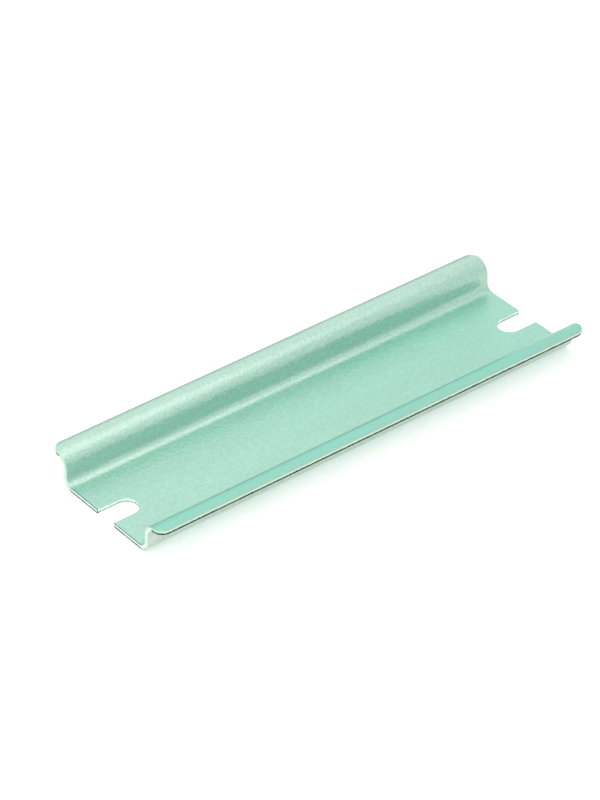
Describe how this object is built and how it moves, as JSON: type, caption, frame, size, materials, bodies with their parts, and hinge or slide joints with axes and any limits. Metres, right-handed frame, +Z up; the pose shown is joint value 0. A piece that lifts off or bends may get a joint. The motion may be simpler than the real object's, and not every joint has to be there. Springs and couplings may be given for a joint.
{
  "type": "din rail",
  "caption": "Short length of top-hat mounting rail: a shallow steel channel with two flat lips for clip-on devices, and an open fixing slot in the floor at each end.",
  "frame": {"origin": "middle of the floor's underside, where the rail rests", "axes": "+X along the rail, +Y across it, +Z up out of the channel's mouth"},
  "size_m": [0.107, 0.035, 0.0075],
  "materials": {
    "zinc_plated_steel": "satin zinc plating, pale green tint, fine grain"
  },
  "bodies": {
    "root": {"rail": "zinc_plated_steel"}
  },
  "joints": []
}
